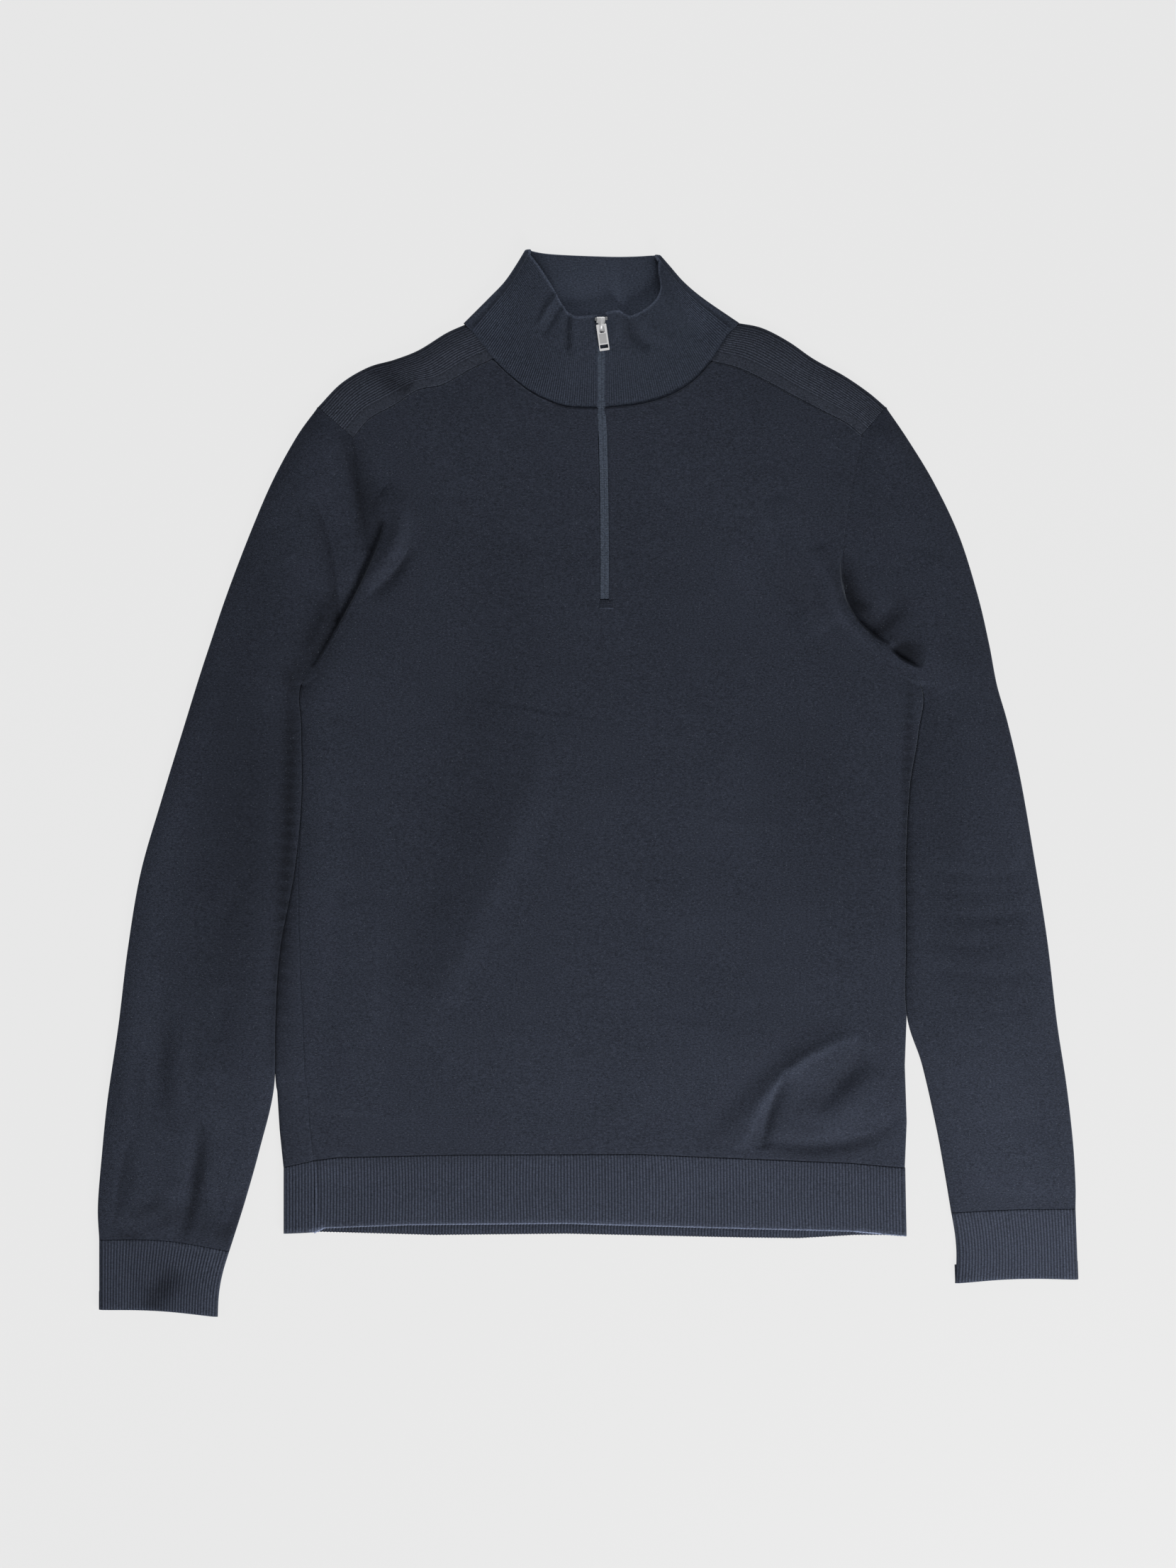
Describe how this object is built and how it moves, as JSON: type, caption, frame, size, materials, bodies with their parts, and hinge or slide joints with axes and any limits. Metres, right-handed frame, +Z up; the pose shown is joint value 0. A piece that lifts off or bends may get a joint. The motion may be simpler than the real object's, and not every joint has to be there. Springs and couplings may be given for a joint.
{
  "type": "half-zip knit sweater",
  "caption": "Long-sleeved fine-knit sweater with a half zip and a ribbed funnel collar, laid flat with its front up.",
  "frame": {"origin": "middle of the laid garment, on the surface it lies on", "axes": "+Z up out of the surface, +Y towards the collar, +X towards the sleeve on the right of the picture (the wearer's left)"},
  "size_m": [0.7594, 0.8258, 0.0155],
  "materials": {
    "knit": "fine jersey, slightly brushed",
    "rib_knit": "ribbed knit",
    "zip_tape": "woven tape",
    "nickel": "satin nickel"
  },
  "bodies": {
    "garment": {"front_panel": "knit", "back_panel": "knit", "sleeve_left": "knit", "sleeve_right": "knit", "cuff_left": "rib_knit", "cuff_right": "rib_knit", "hem_front": "rib_knit", "hem_back": "rib_knit", "yoke_left": "rib_knit", "yoke_right": "rib_knit", "collar": "rib_knit", "zip_tape_left": "zip_tape", "zip_tape_right": "zip_tape", "zip_end_tack": "zip_tape", "zip_stop_left": "nickel", "zip_stop_right": "nickel", "zip_slider": "nickel"},
    "pull": {"zip_pull": "nickel"}
  },
  "joints": [
    {"name": "pull_swing", "type": "hinge", "parent": "garment", "child": "pull", "pos_m": [0.01021, 0.3545, 0.01275], "axis": [-0.9903, -0.1392, 0], "range_deg": [0, 150]}
  ]
}
